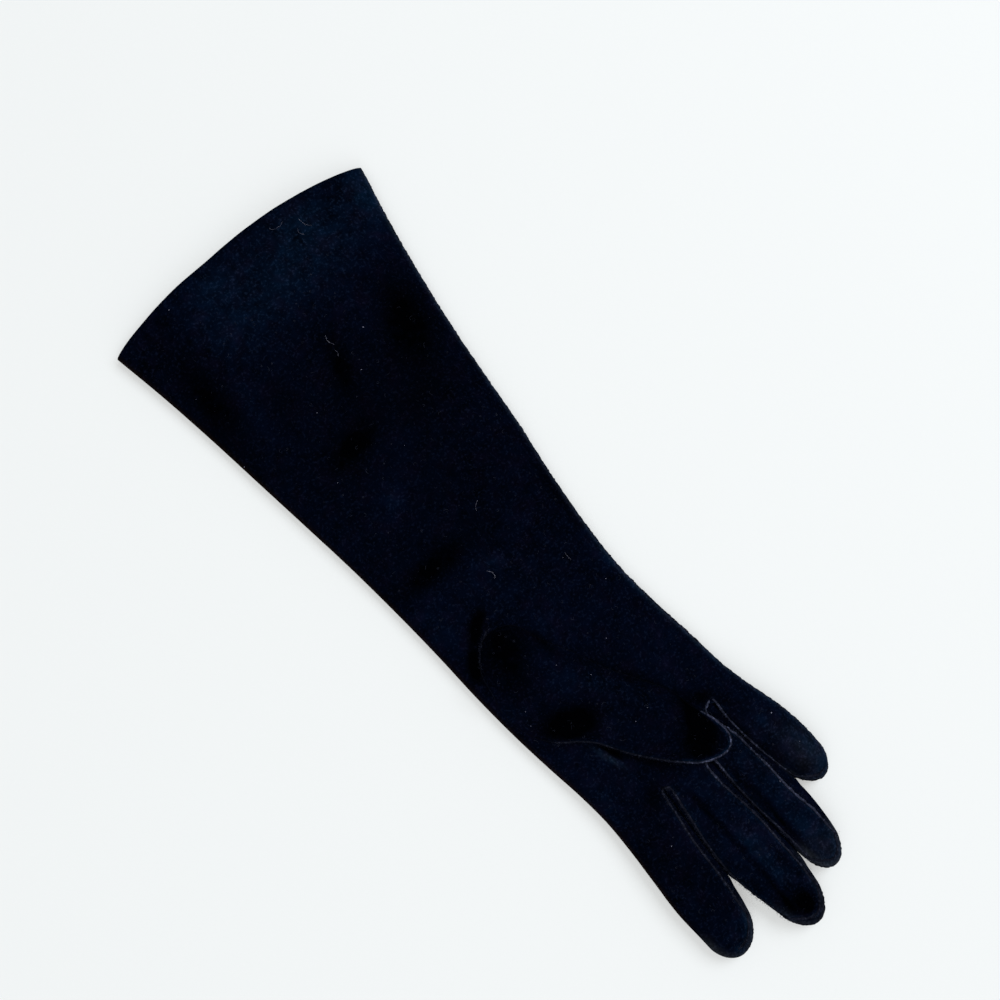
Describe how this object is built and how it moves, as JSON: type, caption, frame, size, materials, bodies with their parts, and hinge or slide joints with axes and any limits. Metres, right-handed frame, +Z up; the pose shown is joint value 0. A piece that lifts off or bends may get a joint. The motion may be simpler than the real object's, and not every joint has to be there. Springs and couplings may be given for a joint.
{
  "type": "long dress glove",
  "caption": "Long fitted dress glove for the right hand, with a flared open sleeve, fingers with side strips and a set-in thumb folded over the palm.",
  "frame": {"origin": "on the surface that the glove lies on, under the middle of its box", "axes": "+Z up, +Y from the cuff to the fingertips, +X towards the index finger's side; the palm is up"},
  "size_m": [0.1294, 0.3634, 0.0178],
  "materials": {
    "sleeve_cloth": "napped cloth with a matt, brushed surface",
    "hand_cloth": "napped cloth with a matt, brushed surface",
    "index_finger_cloth": "napped cloth with a matt, brushed surface",
    "middle_finger_cloth": "napped cloth with a matt, brushed surface",
    "ring_finger_cloth": "napped cloth with a matt, brushed surface",
    "little_finger_cloth": "napped cloth with a matt, brushed surface",
    "thumb_cloth": "napped cloth with a matt, brushed surface",
    "fourchette_index_middle_cloth": "napped cloth with a matt, brushed surface",
    "fourchette_middle_ring_cloth": "napped cloth with a matt, brushed surface",
    "fourchette_ring_little_cloth": "napped cloth with a matt, brushed surface"
  },
  "bodies": {
    "root": {"sleeve": "sleeve_cloth", "hand": "hand_cloth", "index_finger": "index_finger_cloth", "middle_finger": "middle_finger_cloth", "ring_finger": "ring_finger_cloth", "little_finger": "little_finger_cloth", "thumb": "thumb_cloth", "fourchette_index_middle": "fourchette_index_middle_cloth", "fourchette_middle_ring": "fourchette_middle_ring_cloth", "fourchette_ring_little": "fourchette_ring_little_cloth"}
  },
  "joints": []
}
